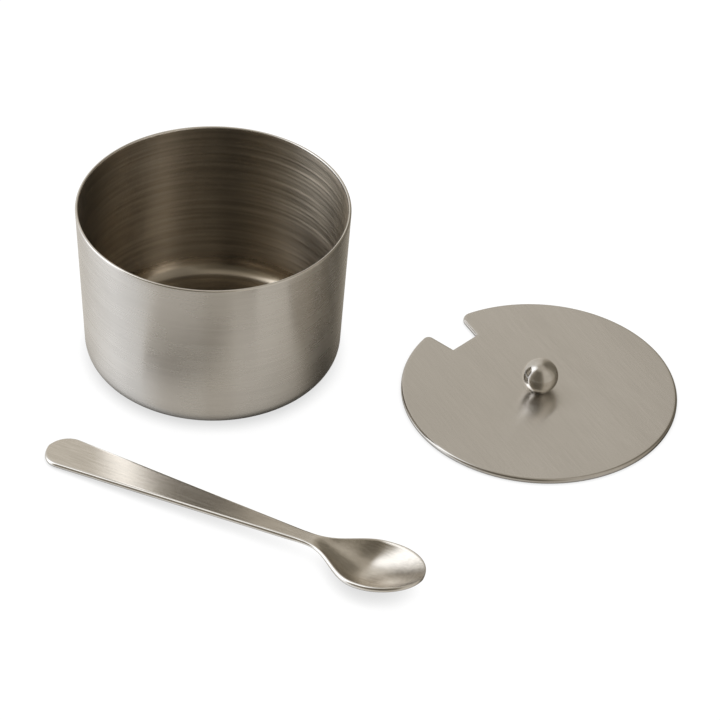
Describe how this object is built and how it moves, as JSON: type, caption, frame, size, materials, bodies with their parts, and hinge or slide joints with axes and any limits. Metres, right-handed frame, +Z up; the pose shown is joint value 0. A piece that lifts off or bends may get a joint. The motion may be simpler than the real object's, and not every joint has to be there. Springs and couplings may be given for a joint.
{
  "type": "lidded serving pot with spoon",
  "caption": "Small brushed steel pot with a flat notched lid, a ball knob and a matching spoon, laid out open beside each other.",
  "frame": {"origin": "middle of the pot's base, on the table", "axes": "+Z up, +X to the right with the lid on the pot's right, +Y away from the viewer with the spoon in front"},
  "size_m": [0.2058, 0.1707, 0.059],
  "materials": {
    "pot_steel": "brushed round the body outside, spun rings inside, polished rim",
    "lid_steel": "fine straight brushing, polished edge",
    "knob_steel": "mirror polished",
    "screw_steel": "turned",
    "spoon_steel": "brushed along its length, satin bowl, polished edge"
  },
  "bodies": {
    "pot_body": {"pot": "pot_steel"},
    "lid": {"lid_plate": "lid_steel", "knob": "knob_steel", "knob_screw": "screw_steel"},
    "spoon_body": {"spoon": "spoon_steel"}
  },
  "joints": [
    {"name": "lid_lift", "type": "slide", "parent": "pot_body", "child": "lid", "axis": [0, 0, 1], "range_m": [0, 0.1]},
    {"name": "spoon_lift", "type": "slide", "parent": "pot_body", "child": "spoon_body", "axis": [0, 0, 1], "range_m": [0, 0.1]}
  ]
}
